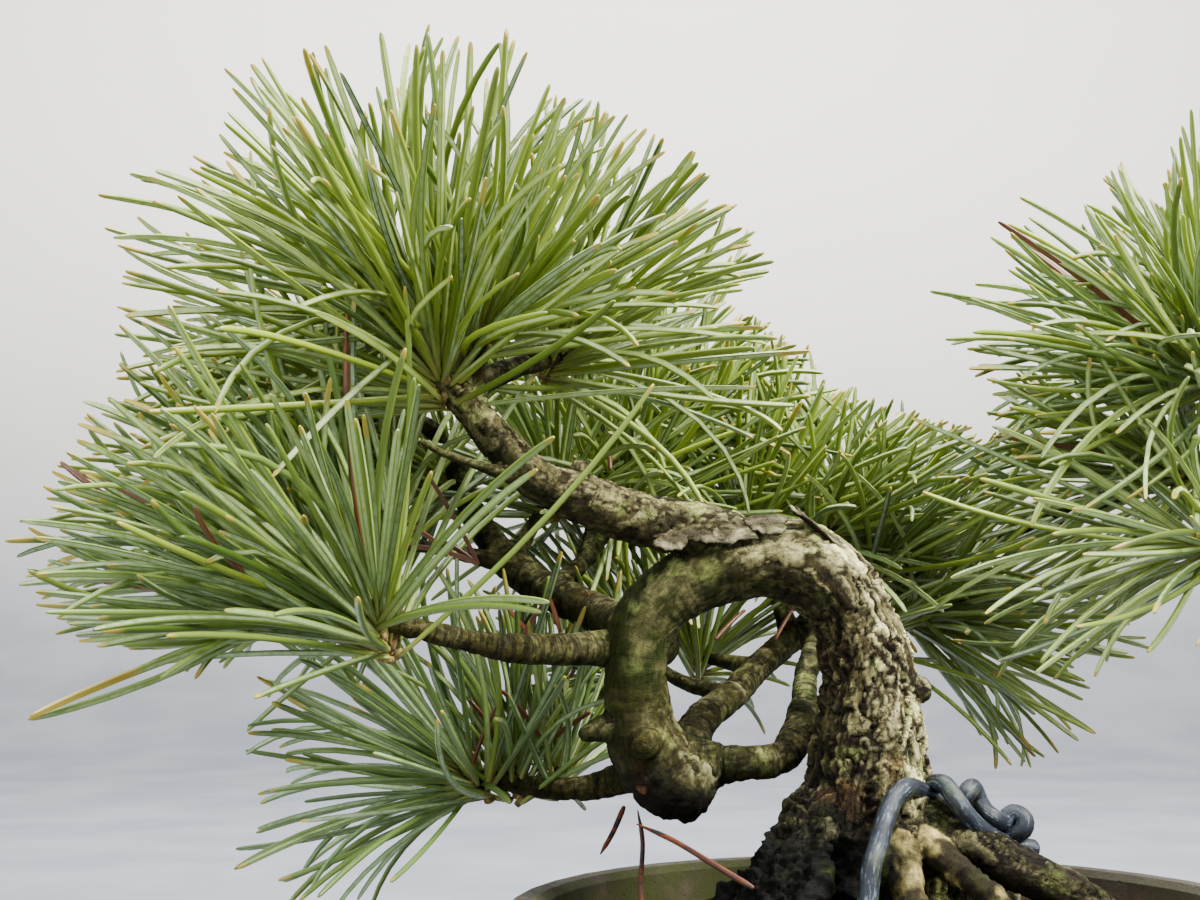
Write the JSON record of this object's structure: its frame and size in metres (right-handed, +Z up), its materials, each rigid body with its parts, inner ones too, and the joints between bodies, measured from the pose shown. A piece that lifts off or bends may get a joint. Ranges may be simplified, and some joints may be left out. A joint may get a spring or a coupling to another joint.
{
  "type": "potted bonsai tree",
  "caption": "White pine bonsai with a looping trunk, exposed roots, needle tufts and a tie wire, rooted in soil in a round footed clay pot with drainage holes.",
  "frame": {"origin": "middle of the whole plant's bounding box in plan, on the plane the pot's feet stand on", "axes": "+Z up, -Y towards the front of the tree, +X along its widest spread, to the right seen from the front"},
  "size_m": [0.2022, 0.136, 0.1454],
  "materials": {
    "pot": "matte",
    "soil": "matte",
    "drainage_mesh": "matte",
    "clip_wire": "satin",
    "tie_wire": "satin",
    "bark": "matte",
    "needles": "satin",
    "fallen_needles": "matte"
  },
  "bodies": {
    "root": {"drainage_mesh_left": "drainage_mesh", "drainage_mesh_right": "drainage_mesh", "fallen_needle_1": "fallen_needles", "fallen_needle_2": "fallen_needles", "fallen_needle_3": "fallen_needles", "fallen_needle_4": "fallen_needles", "fallen_needle_5": "fallen_needles", "mesh_clip_left": "clip_wire", "mesh_clip_right": "clip_wire", "needles_apex_front": "needles", "needles_apex_left": "needles", "needles_apex_mid": "needles", "needles_apex_right": "needles", "needles_apex_top": "needles", "needles_arch_back_right": "needles", "needles_arch_back_up": "needles", "needles_back_left_high": "needles", "needles_back_left_low": "needles", "needles_fork_end": "needles", "needles_gap_back": "needles", "needles_gap_left": "needles", "needles_left_tip": "needles", "needles_low_left_down": "needles", "needles_low_left_up": "needles", "needles_low_spur_right": "needles", "needles_low_spur_up": "needles", "needles_mid_back": "needles", "needles_mid_front": "needles", "needles_mid_inner": "needles", "needles_mid_left": "needles", "needles_mid_rear_up": "needles", "needles_rear_top": "needles", "needles_right_end": "needles", "needles_right_far": "needles", "needles_right_front": "needles", "needles_right_low": "needles", "needles_right_mid": "needles", "needles_right_up": "needles", "needles_trunk_back_low": "needles", "needles_trunk_back_mid": "needles", "needles_trunk_back_right": "needles", "needles_trunk_back_up": "needles", "pine_wood": "bark", "pot": "pot", "soil": "soil", "tie_wire": "tie_wire"}
  },
  "joints": []
}
